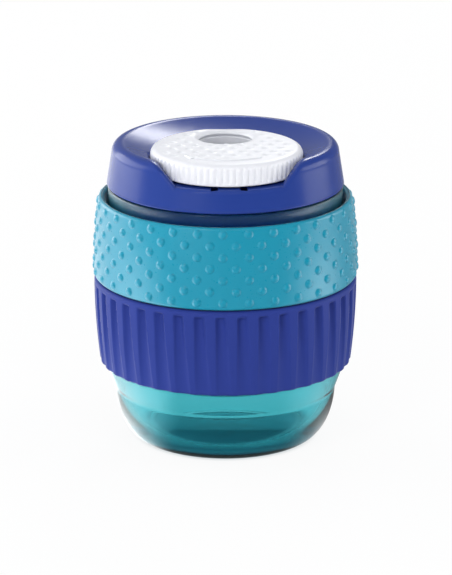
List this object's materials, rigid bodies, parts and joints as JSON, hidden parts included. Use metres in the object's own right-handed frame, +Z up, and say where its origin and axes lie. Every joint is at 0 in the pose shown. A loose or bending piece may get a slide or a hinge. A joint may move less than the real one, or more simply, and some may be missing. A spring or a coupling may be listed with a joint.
{
  "type": "canister pencil sharpener",
  "caption": "Barrel-shaped canister pencil sharpener with soft grip sleeves, a push-on lid and a ribbed dial that turns to close the pencil hole.",
  "frame": {"origin": "centre of the base, on the surface that the container stands on", "axes": "+Z up along the container's axis, -Y toward the thumb notch and the dial's arrow, +X to the right seen from the notch"},
  "size_m": [0.0448, 0.0448, 0.0519],
  "materials": {
    "clear_teal_plastic": "clear, tinted and polished",
    "dark_blue_rubber": "satin",
    "light_blue_rubber": "satin",
    "blue_lid_plastic": "semi-gloss moulded",
    "white_dial_plastic": "semi-gloss moulded",
    "grey_holder_plastic": "matte moulded",
    "plated_screw_steel": "zinc plated",
    "cast_magnesium": "as cast and tumbled",
    "blade_steel": "ground"
  },
  "bodies": {
    "cup": {"container": "clear_teal_plastic", "ribbed_sleeve": "dark_blue_rubber", "dotted_sleeve": "light_blue_rubber"},
    "lid_unit": {"lid": "blue_lid_plastic", "sharpener_holder": "grey_holder_plastic", "holder_screws": "plated_screw_steel", "sharpener_body": "cast_magnesium", "blade": "blade_steel", "blade_screw": "plated_screw_steel"},
    "dial_unit": {"dial": "white_dial_plastic"}
  },
  "joints": [
    {"name": "lid_lift", "type": "slide", "parent": "cup", "child": "lid_unit", "axis": [0, 0, 1], "range_m": [0, 0.03]},
    {"name": "dial_turn", "type": "hinge", "parent": "lid_unit", "child": "dial_unit", "pos_m": [0, -0.00575, 0.0481], "axis": [0, 0, -1], "range_deg": [0, 180]}
  ]
}
